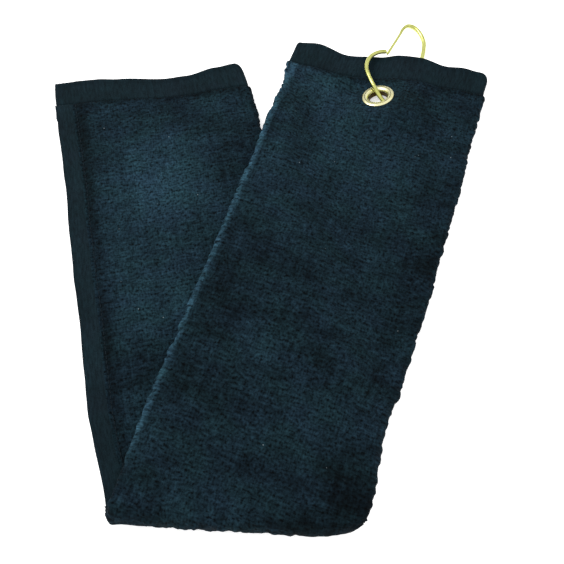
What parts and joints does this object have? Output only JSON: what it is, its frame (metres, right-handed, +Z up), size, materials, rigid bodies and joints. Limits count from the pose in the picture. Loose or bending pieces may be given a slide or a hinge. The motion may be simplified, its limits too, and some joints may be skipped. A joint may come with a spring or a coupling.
{
  "type": "golf towel",
  "caption": "Dark terry golf towel folded lengthwise in three and once across, with a brass eyelet near one end and a sprung brass wire hook through it.",
  "frame": {"origin": "on the ground under the middle of the whole folded piece", "axes": "+Z up from the ground, +X along the fold line towards the leg that carries the eyelet, +Y from the fold line towards the towel's two ends"},
  "size_m": [0.3046, 0.368, 0.0183],
  "materials": {
    "terry": "cotton terry, deep navy, close looped pile with a slight nap",
    "flat_weave": "cotton flat weave of the turned hems, the same navy, ribbed",
    "thread": "polyester sewing thread, navy",
    "brass": "pressed brass sheet, bright",
    "wire": "brass-plated spring wire, polished"
  },
  "bodies": {
    "rear_leg": {"rear_terry": "terry", "rear_end_hem": "flat_weave", "rear_end_seam": "thread", "rear_outer_side_hem": "flat_weave", "rear_outer_side_seam": "thread", "rear_inner_side_hem": "flat_weave", "rear_inner_side_seam": "thread", "mid_fold": "terry"},
    "front_leg": {"front_terry": "terry", "front_end_hem": "flat_weave", "front_end_seam": "thread", "front_outer_side_hem": "flat_weave", "front_outer_side_seam": "thread", "front_inner_side_hem": "flat_weave", "front_inner_side_seam": "thread", "grommet_eyelet": "brass", "grommet_washer": "brass"},
    "hook": {"hook_wire": "wire"},
    "gate": {"gate_wire": "wire"}
  },
  "joints": [
    {"name": "unfold", "type": "hinge", "parent": "rear_leg", "child": "front_leg", "pos_m": [-0.00362, -0.1747, 0.00915], "axis": [1, 0, 0], "range_deg": [0, 180], "deforming": ["mid_fold"]},
    {"name": "hook_swing", "type": "hinge", "parent": "front_leg", "child": "hook", "pos_m": [0.07357, 0.1105, 0.0078], "axis": [0.2639, 0.9646, 0], "range_deg": [0, 85]},
    {"name": "gate_open", "type": "hinge", "parent": "hook", "child": "gate", "pos_m": [0.08215, 0.10587, 0.0036], "axis": [0.9985, 0.0544, 0], "range_deg": [0, 10], "stiffness_Nm_per_rad": 0.05, "springref_deg": -5.73}
  ]
}
